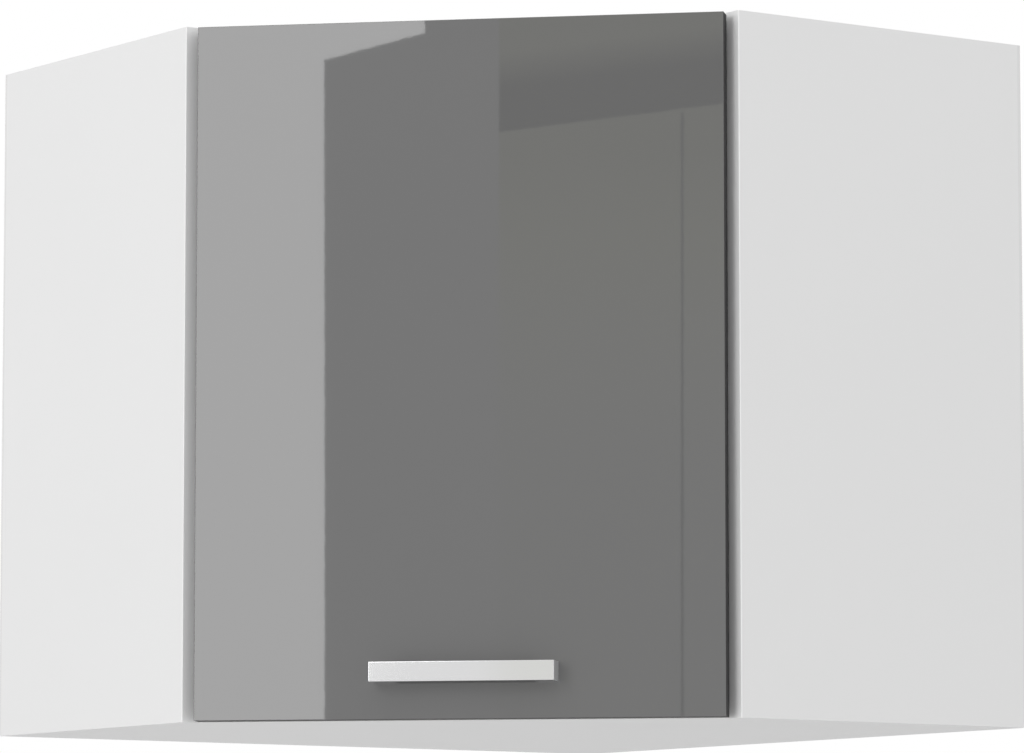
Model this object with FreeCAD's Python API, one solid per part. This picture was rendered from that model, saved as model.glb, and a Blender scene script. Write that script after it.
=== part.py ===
import FreeCAD, Part
import math
import os

# A diagonal corner wall cabinet with one angled door.
# Lengths are in millimetres. The origin is the room corner at the level of the underside.
# +X runs to the right along the front, +Y runs back into the corner and +Z runs up.
# Wall coordinates: u runs along a wall from the corner, v runs from that wall into the room.
# Wall pieces are modelled as x = u, y = v, then turned to the left wall or mirrored to the right one.

# Carcass
WALL_LEG = 600.0
CABINET_HEIGHT = 553.0
END_DEPTH = 287.0
BOARD = 16.0
BACK_BOARD = 3.0
EDGE_STRIP = 0.8
EDGE_ROUND = 0.6
STILE_WIDTH = 70.0

# Door and its gaps: short of the mouth on the hinge side, a little past it on the closing side
DOOR_THICKNESS = 18.0
DOOR_HINGE_GAP = 0.5
DOOR_OVERHANG = 0.8
DOOR_TOP_GAP = 2.5
DOOR_BOTTOM_GAP = 0.5
DOOR_BACK_GAP = 3.5
DOOR_STRIP = 0.8
DOOR_ROUND = 0.4
BUMPER_RADIUS = 4.0
BUMPER_TIP_RADIUS = 2.5
BUMPER_GAP = 0.3
BUMPER_INSET = 14.0

# Handle
HANDLE_LENGTH = 146.0
HANDLE_HEIGHT = 15.5
HANDLE_PROJECTION = 22.0
HANDLE_BAR_DEPTH = 8.0
HANDLE_FOOT_WIDTH = 18.0
HANDLE_RISE = 36.0
HANDLE_SHIFT = 7.0
HANDLE_ROUND = 0.5
HANDLE_SCREW_RADIUS = 2.0
HANDLE_SCREW_PLAY = 0.25
HANDLE_SCREW_BITE = 10.0
HANDLE_SCREW_HEAD_RADIUS = 4.0
HANDLE_SCREW_HEAD = 2.0

# Shelf and its pins
SHELF_GAP = 1.0
SHELF_SETBACK = 25.0
PIN_ROW_INSET = 37.0
PIN_PITCH = 32.0
PIN_HOLES_EACH_WAY = 2
PIN_RADIUS = 2.5
PIN_HOLE_DEPTH = 11.0
PIN_PEG = 10.0
PIN_REACH = 9.0
PIN_WIDTH = 9.0
PIN_TONGUE = 2.5
PIN_BRACKET_HEIGHT = 12.0

# Knock-down fittings
CAM_RADIUS = 7.5
CAM_FLOOR = 3.5
CAM_SETBACK = 34.0
CAM_INSET = 47.0
CAM_CHANNEL_RADIUS = 4.1
CAM_CHANNEL_REACH = 4.0
CAM_SLOT = 1.6
CAM_SLOT_DEPTH = 1.2
CAM_SLOT_SHARE = 0.6
BOLT_BITE = 11.0
BOLT_THREAD_RADIUS = 3.1
BOLT_SHAFT_RADIUS = 2.6
BOLT_HEAD_RADIUS = 3.6
BOLT_HEAD = 2.5
BOLT_BORE_RADIUS = 4.0
DOWEL_RADIUS = 4.0
DOWEL_STEP = 32.0
DOWEL_IN_FACE = 11.0
DOWEL_IN_END = 20.0
STILE_DOWEL_SHARES = (0.25, 0.75)

# Back nails
NAIL_LENGTH = 15.0
NAIL_RADIUS = 0.7
NAIL_HEAD_RADIUS = 1.8
NAIL_HEAD = 0.5
NAIL_END_GAP = 60.0
NAILS_UP = 5
NAILS_ALONG = 4
NAIL_STILE_SHARE = 0.25

# Hanging brackets
BRACKET_STEEL = 2.0
BRACKET_WIDTH = 40.0
BRACKET_HEIGHT = 62.0
BRACKET_LEG = 46.0
KEYHOLE_RADIUS = 6.5
KEYHOLE_SLOT_RADIUS = 3.5
KEYHOLE_SLOT_RISE = 15.0
KEYHOLE_RISE = 24.0
WINDOW_MARGIN = 5.0
BRACKET_SCREW_RADIUS = 1.9
BRACKET_SCREW_BITE = 12.0
BRACKET_SCREW_HEAD_RADIUS = 3.6
BRACKET_SCREW_HEAD = 1.8
BRACKET_SCREW_SHARES = (0.2, 0.8)
BRACKET_SCREW_LEG_SHARE = 0.62

# Hinges: the cup and what turns with the door
HINGE_INSET = 90.0
CUP_RADIUS = 17.5
CUP_EDGE = 3.0
CUP_DEPTH = 13.0
CUP_WALL = 1.0
CUP_FLOOR = 0.7
CUP_FLANGE = 1.0
CUP_FLANGE_RIM = 1.5
CUP_WING_HALF = 31.0
CUP_WING_WIDTH = 13.0
CUP_SCREW_SPACING = 48.0
CUP_SCREW_OFFSET = 6.0
CUP_SCREW_RADIUS = 1.75
CUP_SCREW_BITE = 11.0
CUP_SCREW_HEAD_RADIUS = 3.3
CUP_SCREW_HEAD = 1.4
CUP_LUG_HALF = 2.5
CUP_LUG_GAP = 1.0
PIVOT_FROM_EDGE = 7.8
PIVOT_DEPTH = 9.2
PIVOT_RADIUS = 1.5
PIVOT_PLAY = 0.05
PIVOT_HALF_LENGTH = 10.0
SPRING_STEEL = 0.5
SPRING_HALF = 4.0
SPRING_PLAY = 0.05
SPRING_TIP_GAP = 4.4
SPRING_SIDE_GAP = 3.2
SPRING_TAIL = 8.0

# Hinges: the arm and its plate, which stay on the side panel
KNUCKLE_RADIUS = 2.3
NECK = 3.0
NECK_HALF = 5.0
NECK_DROP = 0.8
NECK_RISE_FROM_PIVOT = 13.2
NECK_OVER = 6.0
NECK_ROUND = 1.2
ARM_OFFSET = 6.0
ARM_SHEET = 1.5
ARM_HALF = 8.5
ARM_START = 4.0
ARM_SIDES_START = 16.0
ARM_END = 66.0
ARM_CLEARANCE = 0.3
PLATE_LINE = 37.0
PLATE_WING = 2.2
PLATE_WING_HALF_WIDTH = 6.0
PLATE_WING_HALF = 26.0
PLATE_HALF = 6.5
PLATE_START = 20.0
PLATE_END = 62.0
PLATE_SCREW_SPACING = 32.0
PLATE_SCREW_RADIUS = 3.0
PLATE_SCREW_BITE = 11.0
PLATE_SCREW_HEAD_RADIUS = 4.5
PLATE_SCREW_HEAD = 1.5
ARM_SCREW_LINE = 55.0
ADJUSTER_LINE = 26.0
ARM_SCREW_RADIUS = 2.0
ARM_SCREW_HEAD_RADIUS = 3.6
ARM_SCREW_HEAD = 1.8
ARM_SCREW_BITE = 4.0
DRIVE_SLOT = 0.9
DRIVE_DEPTH = 0.9
DRIVE_SHARE = 0.65

OVERRUN = 2.0
SAME_PLACE = 0.001

# Places worked out from the sizes above
DIAGONAL = math.sqrt(0.5)
LEFT = -1
RIGHT = 1
LEFT_WALL_TURN = -135
SIDE_INNER = WALL_LEG - BOARD
MOUTH_HALF = (SIDE_INNER - END_DEPTH) * DIAGONAL
MOUTH_Y = -(SIDE_INNER + END_DEPTH) * DIAGONAL
TOP_UNDERSIDE = CABINET_HEIGHT - BOARD
SHELF_Z = (CABINET_HEIGHT - BOARD) / 2
STILE_END = BACK_BOARD + STILE_WIDTH
STILE_FACE = BACK_BOARD + BOARD
DOOR_LEFT = -MOUTH_HALF + DOOR_HINGE_GAP
DOOR_RIGHT = MOUTH_HALF + DOOR_OVERHANG
DOOR_BACK_Y = MOUTH_Y - DOOR_BACK_GAP
DOOR_FRONT_Y = DOOR_BACK_Y - DOOR_THICKNESS
DOOR_TOP = CABINET_HEIGHT - DOOR_TOP_GAP
HANDLE_Z = DOOR_BOTTOM_GAP + HANDLE_RISE
FOOT_CENTRE = (HANDLE_LENGTH - HANDLE_FOOT_WIDTH) / 2
CUP_X = DOOR_LEFT + CUP_EDGE + CUP_RADIUS
CUP_FLOOR_Y = DOOR_BACK_Y - CUP_DEPTH + CUP_FLOOR
PIVOT_X = DOOR_LEFT + PIVOT_FROM_EDGE
PIVOT_Y = DOOR_BACK_Y - PIVOT_DEPTH
HINGE_HEIGHTS = {"lower": DOOR_BOTTOM_GAP + HINGE_INSET, "upper": DOOR_TOP - HINGE_INSET}
CAM_PLACES = (BACK_BOARD + CAM_INSET, END_DEPTH - CAM_INSET)
DOWEL_PLACES = (CAM_PLACES[0] + DOWEL_STEP, CAM_PLACES[1] - DOWEL_STEP)
PIN_ROWS = (BACK_BOARD + PIN_ROW_INSET, END_DEPTH - PIN_ROW_INSET)
BRACKET_BOTTOM = TOP_UNDERSIDE - BRACKET_HEIGHT
ARM_TOP = ARM_OFFSET + NECK / 2

UP = FreeCAD.Vector(0, 0, 1)
ORIGIN = FreeCAD.Vector(0, 0, 0)


def at(x, y, z=0.0):
    return FreeCAD.Vector(x, y, z)


def block(x0, x1, y0, y1, z0, z1):
    """A box between two corners, whichever way round they are given."""
    low = at(min(x0, x1), min(y0, y1), min(z0, z1))
    return Part.makeBox(abs(x1 - x0), abs(y1 - y0), abs(z1 - z0), low)


def rod(radius, start, end):
    return Part.makeCylinder(radius, (end - start).Length, start, end - start)


def prism(outline, z0, z1):
    """A plan outline of (x, y) corners raised from z0 to z1."""
    corners = [at(x, y, z0) for x, y in outline]
    return Part.Face(Part.makePolygon(corners + corners[:1])).extrude(UP * (z1 - z0))


def joined(first, *others):
    return first.fuse(list(others)).removeSplitter()


def group(solids):
    return Part.makeCompound(solids)


def on_left(shape):
    turned = shape.copy()
    turned.rotate(ORIGIN, UP, LEFT_WALL_TURN)
    return turned


def on_right(shape):
    return on_left(shape).mirror(ORIGIN, at(1, 0))


def on_both(solids):
    return [place(solid) for place in (on_left, on_right) for solid in solids]


def plan(side, u, v):
    """Wall coordinates as plan coordinates."""
    return side * (u - v) * DIAGONAL, -(u + v) * DIAGONAL


def spread(first, last, count):
    return [first + (last - first) * i / (count - 1) for i in range(count)]


def rounded(solid, radius, wanted):
    """Rounds the straight edges whose two ends the test picks."""
    edges = [e for e in solid.Edges if len(e.Vertexes) == 2 and wanted(*[v.Point for v in e.Vertexes])]
    return solid.makeFillet(radius, edges)


def near(a, b):
    return abs(a - b) < SAME_PLACE


# Carcass boards


def panel_outline(front_y):
    """The five-sided plan between the sides, cut off square at front_y."""
    half = MOUTH_HALF + front_y - MOUTH_Y
    return [
        (-half, front_y),
        (half, front_y),
        plan(RIGHT, SIDE_INNER, BACK_BOARD),
        plan(LEFT, BACK_BOARD, BACK_BOARD),
        plan(LEFT, SIDE_INNER, BACK_BOARD),
    ]


def front_strip(front_y, inset, z0, z1):
    """An edge strip on a board's front edge, between the two sides."""
    half = MOUTH_HALF + front_y - MOUTH_Y - inset
    outline = [
        (-half, front_y),
        (half, front_y),
        (half + EDGE_STRIP, front_y + EDGE_STRIP),
        (-half - EDGE_STRIP, front_y + EDGE_STRIP),
    ]
    strip = prism(outline, z0, z1)
    radius = min(EDGE_ROUND, EDGE_STRIP)
    return rounded(strip, radius, lambda a, b: near(a.y, front_y) and near(b.y, front_y) and near(a.z, b.z))


def shelf_outline(front_y):
    """The shelf's plan: a gap all round and a step round the corner stile."""
    half = MOUTH_HALF + front_y - MOUTH_Y - SHELF_GAP / DIAGONAL
    back = BACK_BOARD + SHELF_GAP
    return [
        (-half, front_y),
        (half, front_y),
        plan(RIGHT, SIDE_INNER - SHELF_GAP, back),
        plan(RIGHT, STILE_FACE + SHELF_GAP, back),
        plan(LEFT, STILE_END + SHELF_GAP, STILE_FACE + SHELF_GAP),
        plan(LEFT, STILE_END + SHELF_GAP, back),
        plan(LEFT, SIDE_INNER - SHELF_GAP, back),
    ]


def side_board():
    return block(SIDE_INNER, WALL_LEG, BACK_BOARD, END_DEPTH - EDGE_STRIP, 0, CABINET_HEIGHT)


def side_strip():
    strip = block(SIDE_INNER, WALL_LEG, END_DEPTH - EDGE_STRIP, END_DEPTH, 0, CABINET_HEIGHT)
    radius = min(EDGE_ROUND, EDGE_STRIP)
    front = END_DEPTH
    return rounded(strip, radius, lambda a, b: near(a.y, front) and near(b.y, front) and near(a.x, b.x))


def back_board(start, window):
    board = block(start, WALL_LEG, 0, BACK_BOARD, 0, CABINET_HEIGHT)
    return board.cut(window)


def stile_board():
    return block(BACK_BOARD, STILE_END, BACK_BOARD, STILE_FACE, BOARD, TOP_UNDERSIDE)


# Knock-down fittings, in wall coordinates


def cam_bolt(v, z):
    cam_u = SIDE_INNER - CAM_SETBACK
    thread = rod(BOLT_THREAD_RADIUS, at(SIDE_INNER + BOLT_BITE, v, z), at(SIDE_INNER, v, z))
    shaft = rod(BOLT_SHAFT_RADIUS, at(SIDE_INNER, v, z), at(cam_u, v, z))
    head = rod(BOLT_HEAD_RADIUS, at(cam_u + BOLT_HEAD, v, z), at(cam_u, v, z))
    return joined(thread, shaft, head)


def cam_seat(v, z, face):
    floor = z - (face - z) * (BOARD / 2 - CAM_FLOOR) / (BOARD / 2)
    cam_u = SIDE_INNER - CAM_SETBACK
    return rod(CAM_RADIUS, at(cam_u, v, floor), at(cam_u, v, face))


def cam_lock(v, z, face):
    """A round lock, hollow where the bolt's head enters, with a cross slot in its face."""
    cam_u = SIDE_INNER - CAM_SETBACK
    reach = at(cam_u + CAM_RADIUS + OVERRUN, v, z)
    channel = rod(CAM_CHANNEL_RADIUS, at(cam_u - CAM_CHANNEL_REACH, v, z), reach)
    inward = math.copysign(CAM_SLOT_DEPTH, z - face)
    long = CAM_RADIUS * CAM_SLOT_SHARE
    thin = CAM_SLOT / 2
    slots = [
        block(cam_u - long, cam_u + long, v - thin, v + thin, face, face + inward),
        block(cam_u - thin, cam_u + thin, v - long, v + long, face, face + inward),
    ]
    return cam_seat(v, z, face).cut([channel] + slots)


def bolt_bore(v, z):
    return rod(BOLT_BORE_RADIUS, at(SIDE_INNER - CAM_SETBACK, v, z), at(SIDE_INNER, v, z))


def side_dowel(v, z):
    return rod(DOWEL_RADIUS, at(SIDE_INNER - DOWEL_IN_END, v, z), at(SIDE_INNER + DOWEL_IN_FACE, v, z))


def stile_dowels():
    dowels = []
    for share in STILE_DOWEL_SHARES:
        for end, inward in ((BOARD, 1), (TOP_UNDERSIDE, -1)):
            u = BACK_BOARD + STILE_WIDTH * share
            v = BACK_BOARD + BOARD / 2
            outer = at(u, v, end - inward * DOWEL_IN_FACE)
            dowels.append(rod(DOWEL_RADIUS, outer, at(u, v, end + inward * DOWEL_IN_END)))
    return dowels


def nail(u, z):
    shank = rod(NAIL_RADIUS, at(u, 0, z), at(u, NAIL_LENGTH, z))
    head = rod(NAIL_HEAD_RADIUS, at(u, 0, z), at(u, NAIL_HEAD, z))
    return joined(shank, head)


def nails(stile_u):
    """One wall's nails: up the side panel, up the stile, and along the top and bottom panels."""
    heights = spread(NAIL_END_GAP, CABINET_HEIGHT - NAIL_END_GAP, NAILS_UP)
    along = spread(STILE_END + NAIL_END_GAP, SIDE_INNER - NAIL_END_GAP, NAILS_ALONG)
    places = [(u, z) for u in (WALL_LEG - BOARD / 2, stile_u) for z in heights]
    places += [(u, z) for u in along for z in (BOARD / 2, CABINET_HEIGHT - BOARD / 2)]
    return [nail(u, z) for u, z in places]


# Shelf pins


def pin_heights():
    middle = SHELF_Z - PIN_RADIUS
    return [middle + PIN_PITCH * i for i in range(-PIN_HOLES_EACH_WAY, PIN_HOLES_EACH_WAY + 1)]


def side_pin_holes():
    return [
        rod(PIN_RADIUS, at(SIDE_INNER, v, z), at(SIDE_INNER + PIN_HOLE_DEPTH, v, z))
        for v in PIN_ROWS
        for z in pin_heights()
    ]


def stile_pin_holes():
    u = BACK_BOARD + STILE_WIDTH / 2
    return [rod(PIN_RADIUS, at(u, STILE_FACE - PIN_PEG, z), at(u, STILE_FACE, z)) for z in pin_heights()]


def shelf_pin(turn, place):
    """A peg with a bracket, whose flat top is level with the origin, turned and set in place."""
    half = PIN_WIDTH / 2
    corners = [
        at(0, -half, 0),
        at(PIN_REACH, -half, 0),
        at(PIN_REACH, -half, -PIN_TONGUE),
        at(0, -half, -PIN_BRACKET_HEIGHT),
    ]
    bracket = Part.Face(Part.makePolygon(corners + corners[:1])).extrude(at(0, PIN_WIDTH))
    pin = joined(bracket, rod(PIN_RADIUS, at(-PIN_PEG, 0, -PIN_RADIUS), at(0, 0, -PIN_RADIUS)))
    pin.rotate(ORIGIN, UP, turn)
    pin.translate(place)
    return pin


# Hanging brackets, in wall coordinates


def bracket_window():
    return block(
        SIDE_INNER - BRACKET_WIDTH + WINDOW_MARGIN,
        SIDE_INNER - WINDOW_MARGIN,
        -OVERRUN,
        BACK_BOARD + OVERRUN,
        BRACKET_BOTTOM + WINDOW_MARGIN,
        TOP_UNDERSIDE - WINDOW_MARGIN,
    )


def hanging_bracket():
    """A steel angle: one leg on the side panel, the other along the wall with a keyhole in it."""
    v = BACK_BOARD
    levels = (BRACKET_BOTTOM, TOP_UNDERSIDE)
    wall_leg = block(SIDE_INNER - BRACKET_WIDTH, SIDE_INNER, v, v + BRACKET_STEEL, *levels)
    side_leg = block(SIDE_INNER - BRACKET_STEEL, SIDE_INNER, v, v + BRACKET_LEG, *levels)
    u = SIDE_INNER - BRACKET_WIDTH / 2
    z = BRACKET_BOTTOM + KEYHOLE_RISE
    top = z + KEYHOLE_SLOT_RISE
    v0 = BACK_BOARD - OVERRUN
    v1 = BACK_BOARD + BRACKET_STEEL + OVERRUN
    keyhole = [
        rod(KEYHOLE_RADIUS, at(u, v0, z), at(u, v1, z)),
        rod(KEYHOLE_SLOT_RADIUS, at(u, v0, top), at(u, v1, top)),
        block(u - KEYHOLE_SLOT_RADIUS, u + KEYHOLE_SLOT_RADIUS, v0, v1, z, top),
    ]
    return joined(wall_leg, side_leg).cut(keyhole)


def bracket_screws():
    v = BACK_BOARD + BRACKET_LEG * BRACKET_SCREW_LEG_SHARE
    face = SIDE_INNER - BRACKET_STEEL
    screws = []
    for share in BRACKET_SCREW_SHARES:
        z = BRACKET_BOTTOM + BRACKET_HEIGHT * share
        shank = rod(BRACKET_SCREW_RADIUS, at(face, v, z), at(SIDE_INNER + BRACKET_SCREW_BITE, v, z))
        head = rod(BRACKET_SCREW_HEAD_RADIUS, at(face - BRACKET_SCREW_HEAD, v, z), at(face, v, z))
        screws.append(driven(joined(shank, head), at(face - BRACKET_SCREW_HEAD, v, z), at(1, 0)))
    return screws


def plain(screw, face, inward):
    """Leaves a screw as it is, for the hole that it fills."""
    return screw


def driven(screw, face, inward):
    """Cuts a cross drive into a screw head whose face centre and inward direction are given."""
    long = min(BRACKET_SCREW_HEAD_RADIUS, CUP_SCREW_HEAD_RADIUS) * DRIVE_SHARE
    across = inward.cross(UP)
    slots = []
    for main, other in ((across, UP), (UP, across)):
        reach = main * long
        half = other * (DRIVE_SLOT / 2)
        corners = [face - reach - half, face + reach - half, face + reach + half, face - reach + half]
        slots.append(Part.Face(Part.makePolygon(corners + corners[:1])).extrude(inward * DRIVE_DEPTH))
    return screw.cut(slots)


# Hinges


def arm_point(t, n):
    """A plan point t along the left side panel's inner face from its front corner, n off that face."""
    return -MOUTH_HALF + (n - t) * DIAGONAL, MOUTH_Y + (n + t) * DIAGONAL


def strip_outline(path, thickness):
    """A bent strip's outline: each centre line point moved half a thickness both ways, mitred."""
    points = [at(*p) for p in path]
    runs = [(b - a).normalize() for a, b in zip(points, points[1:])]
    befores = runs[:1] + runs
    afters = runs + runs[-1:]
    one_side = []
    other_side = []
    for point, before, after in zip(points, befores, afters):
        middle = UP.cross(before + after).normalize()
        reach = thickness / 2 / middle.dot(UP.cross(before))
        one_side.append(point + middle * reach)
        other_side.append(point - middle * reach)
    return [(p.x, p.y) for p in one_side + other_side[::-1]]


def hinge_neck(z):
    """The arm's bent nose: along the cup's floor, out of it, back over the door's edge, then rearwards."""
    run_y = PIVOT_Y - NECK_DROP
    rise_x = PIVOT_X + NECK_RISE_FROM_PIVOT
    over_y = DOOR_BACK_Y + NECK_OVER
    bend_x = -MOUTH_HALF + ARM_OFFSET / DIAGONAL - (over_y - MOUTH_Y)
    bends = [(rise_x, run_y), (rise_x, over_y), (bend_x, over_y)]
    path = [(PIVOT_X, run_y)] + bends + [arm_point(ARM_SIDES_START, ARM_OFFSET)]
    neck = prism(strip_outline(path, NECK), z - NECK_HALF, z + NECK_HALF)

    def at_bend(a, b):
        upright = near(a.x, b.x) and near(a.y, b.y)
        return upright and any(math.hypot(a.x - x, a.y - y) < NECK for x, y in bends)

    return rounded(neck, NECK_ROUND, at_bend)


def hinge_arm(z):
    """Bent nose and knuckle on a folded channel that covers the mounting plate."""
    knuckle = rod(KNUCKLE_RADIUS, at(PIVOT_X, PIVOT_Y, z - NECK_HALF), at(PIVOT_X, PIVOT_Y, z + NECK_HALF))
    bore_radius = PIVOT_RADIUS + PIVOT_PLAY
    reach = NECK_HALF + OVERRUN
    bore = rod(bore_radius, at(PIVOT_X, PIVOT_Y, z - reach), at(PIVOT_X, PIVOT_Y, z + reach))
    top = channel_block(ARM_START, ARM_END, ARM_TOP - ARM_SHEET, ARM_TOP, z - ARM_HALF, z + ARM_HALF)
    low = PLATE_WING + ARM_CLEARANCE
    sides = []
    for side in (-1, 1):
        outer = z + side * ARM_HALF
        sides.append(channel_block(ARM_SIDES_START, ARM_END, low, ARM_TOP, outer, outer - side * ARM_SHEET))
    arm = joined(hinge_neck(z), knuckle, on_left(top), *[on_left(side) for side in sides])
    return arm.cut(bore)


def channel_block(t0, t1, n0, n1, z0, z1):
    """A box by its place along and off the side panel's inner face, in wall coordinates."""
    return block(SIDE_INNER - n1, SIDE_INNER - n0, END_DEPTH - t1, END_DEPTH - t0, z0, z1)


def mounting_plate(z):
    body = channel_block(PLATE_START, PLATE_END, 0, ARM_TOP - ARM_SHEET, z - PLATE_HALF, z + PLATE_HALF)
    line = END_DEPTH - PLATE_LINE
    end = PLATE_WING_HALF - PLATE_WING_HALF_WIDTH
    t0 = PLATE_LINE - PLATE_WING_HALF_WIDTH
    t1 = PLATE_LINE + PLATE_WING_HALF_WIDTH
    wing = channel_block(t0, t1, 0, PLATE_WING, z - end, z + end)
    face = SIDE_INNER - PLATE_WING
    tips = [
        rod(PLATE_WING_HALF_WIDTH, at(face, line, z + side * end), at(SIDE_INNER, line, z + side * end))
        for side in (-1, 1)
    ]
    return on_left(joined(body, wing, *tips))


def plate_screws(z, finish):
    """Euro screws, countersunk into the plate's wings, each finished by the given function."""
    v = END_DEPTH - PLATE_LINE
    face = SIDE_INNER - PLATE_WING
    screws = []
    for side in (-1, 1):
        height = z + side * PLATE_SCREW_SPACING / 2
        shank = rod(PLATE_SCREW_RADIUS, at(face, v, height), at(SIDE_INNER + PLATE_SCREW_BITE, v, height))
        head = rod(PLATE_SCREW_HEAD_RADIUS, at(face, v, height), at(face + PLATE_SCREW_HEAD, v, height))
        screws.append(on_left(finish(joined(shank, head), at(face, v, height), at(1, 0))))
    return screws


def arm_screw(line, z):
    """A screw through the arm's channel into the mounting plate."""
    v = END_DEPTH - line
    face = SIDE_INNER - ARM_TOP
    shank = rod(ARM_SCREW_RADIUS, at(face, v, z), at(face + ARM_SHEET + ARM_SCREW_BITE, v, z))
    head = rod(ARM_SCREW_HEAD_RADIUS, at(face - ARM_SCREW_HEAD, v, z), at(face, v, z))
    return on_left(driven(joined(shank, head), at(face - ARM_SCREW_HEAD, v, z), at(1, 0)))


def cup_solid(z):
    return rod(CUP_RADIUS, at(CUP_X, DOOR_BACK_Y - CUP_DEPTH, z), at(CUP_X, DOOR_BACK_Y, z))


def hinge_pin(z):
    low = at(PIVOT_X, PIVOT_Y, z - PIVOT_HALF_LENGTH)
    return rod(PIVOT_RADIUS, low, at(PIVOT_X, PIVOT_Y, z + PIVOT_HALF_LENGTH))


def hinge_cup(z):
    """A pressed cup with a screw flange, and two lugs inside that hold the pin."""
    flange_y = DOOR_BACK_Y + CUP_FLANGE
    rim = rod(CUP_RADIUS + CUP_FLANGE_RIM, at(CUP_X, DOOR_BACK_Y, z), at(CUP_X, flange_y, z))
    wing_x0 = CUP_X + CUP_SCREW_OFFSET - CUP_WING_WIDTH / 2
    wing_x1 = CUP_X + CUP_SCREW_OFFSET + CUP_WING_WIDTH / 2
    wing = block(wing_x0, wing_x1, DOOR_BACK_Y, flange_y, z - CUP_WING_HALF, z + CUP_WING_HALF)
    wing = rounded(wing, CUP_WING_WIDTH / 3, lambda a, b: near(a.x, b.x) and near(a.z, b.z))
    hollow = rod(CUP_RADIUS - CUP_WALL, at(CUP_X, CUP_FLOOR_Y, z), at(CUP_X, flange_y + OVERRUN, z))
    shell = joined(cup_solid(z), rim, wing).cut(hollow)
    inside = NECK_HALF + CUP_LUG_GAP
    lugs = [
        block(
            PIVOT_X - CUP_LUG_HALF,
            PIVOT_X + CUP_LUG_HALF,
            CUP_FLOOR_Y,
            PIVOT_Y + CUP_LUG_HALF,
            z + side * inside,
            z + side * CUP_RADIUS,
        ).common(cup_solid(z))
        for side in (-1, 1)
    ]
    return joined(shell, *lugs).cut(hinge_pin(z))


def hinge_spring(z):
    """A leaf on the cup's floor, hooked up the far wall, that snaps the door shut."""
    floor = CUP_FLOOR_Y + SPRING_PLAY + SPRING_STEEL / 2
    wall = CUP_X + CUP_RADIUS - CUP_WALL - SPRING_SIDE_GAP
    tip = PIVOT_X + KNUCKLE_RADIUS + SPRING_TIP_GAP
    path = [(wall, floor + SPRING_TAIL), (wall, floor), (tip, floor)]
    return prism(strip_outline(path, SPRING_STEEL), z - SPRING_HALF, z + SPRING_HALF)


def cup_screws(z):
    x = CUP_X + CUP_SCREW_OFFSET
    face = DOOR_BACK_Y + CUP_FLANGE
    screws = []
    for side in (-1, 1):
        height = z + side * CUP_SCREW_SPACING / 2
        shank = rod(CUP_SCREW_RADIUS, at(x, DOOR_BACK_Y - CUP_SCREW_BITE, height), at(x, face, height))
        head = rod(CUP_SCREW_HEAD_RADIUS, at(x, face, height), at(x, face + CUP_SCREW_HEAD, height))
        screws.append(driven(joined(shank, head), at(x, face + CUP_SCREW_HEAD, height), at(0, -1)))
    return screws


# Door and handle


def door_board():
    left = DOOR_LEFT + DOOR_STRIP
    right = DOOR_RIGHT - DOOR_STRIP
    bottom = DOOR_BOTTOM_GAP + DOOR_STRIP
    return block(left, right, DOOR_FRONT_Y, DOOR_BACK_Y, bottom, DOOR_TOP - DOOR_STRIP)


def door_strips():
    """Four edge strips: two full-height ones and two between them, rounded along their outer edges."""
    left = DOOR_LEFT + DOOR_STRIP
    right = DOOR_RIGHT - DOOR_STRIP
    low = DOOR_BOTTOM_GAP
    radius = min(DOOR_ROUND, DOOR_STRIP)
    depth = (DOOR_FRONT_Y, DOOR_BACK_Y)
    strips = []
    for edge, inner in ((DOOR_LEFT, left), (DOOR_RIGHT, right)):

        def on_edge(a, b):
            return near(a.x, edge) and near(b.x, edge) and near(a.y, b.y)

        upright = block(inner, edge, *depth, low, DOOR_TOP)
        strips.append(rounded(upright, radius, on_edge))
    for level, inward in ((low, 1), (DOOR_TOP, -1)):

        def on_level(a, b):
            return near(a.z, level) and near(b.z, level) and near(a.y, b.y)

        cross = block(left, right, *depth, level, level + inward * DOOR_STRIP)
        strips.append(rounded(cross, radius, on_level))
    return strips


def door_handle():
    """A square bar on two feet, with its outer edges eased."""
    front = DOOR_FRONT_Y - HANDLE_PROJECTION
    half = HANDLE_LENGTH / 2
    z0 = HANDLE_Z - HANDLE_HEIGHT / 2
    z1 = HANDLE_Z + HANDLE_HEIGHT / 2
    x = HANDLE_SHIFT
    inner = half - HANDLE_FOOT_WIDTH
    body = block(x - half, x + half, front, DOOR_FRONT_Y, z0, z1)
    hollow = block(x - inner, x + inner, front + HANDLE_BAR_DEPTH, DOOR_FRONT_Y, z0, z1)

    def off_the_door(a, b):
        return not (near(a.y, DOOR_FRONT_Y) and near(b.y, DOOR_FRONT_Y))

    return rounded(body.cut(hollow), HANDLE_ROUND, off_the_door)


def handle_screws(radius):
    """Machine screws from behind the door into the handle's feet, at a given shank radius."""
    screws = []
    for side in (-1, 1):
        x = HANDLE_SHIFT + side * FOOT_CENTRE
        shank = rod(radius, at(x, DOOR_BACK_Y, HANDLE_Z), at(x, DOOR_FRONT_Y - HANDLE_SCREW_BITE, HANDLE_Z))
        head_end = at(x, DOOR_BACK_Y + HANDLE_SCREW_HEAD, HANDLE_Z)
        head = rod(HANDLE_SCREW_HEAD_RADIUS, at(x, DOOR_BACK_Y, HANDLE_Z), head_end)
        screws.append(driven(joined(shank, head), head_end, at(0, -1)))
    return screws


def door_bumpers():
    """Soft dots that meet the front edges of the top and bottom panels."""
    height = DOOR_BACK_GAP - BUMPER_GAP
    x = DOOR_RIGHT - BUMPER_INSET
    places = [at(x, DOOR_BACK_Y, z) for z in (BOARD / 2, CABINET_HEIGHT - BOARD / 2)]
    return [Part.makeCone(BUMPER_RADIUS, BUMPER_TIP_RADIUS, height, place, at(0, 1)) for place in places]


# Assembly


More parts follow.
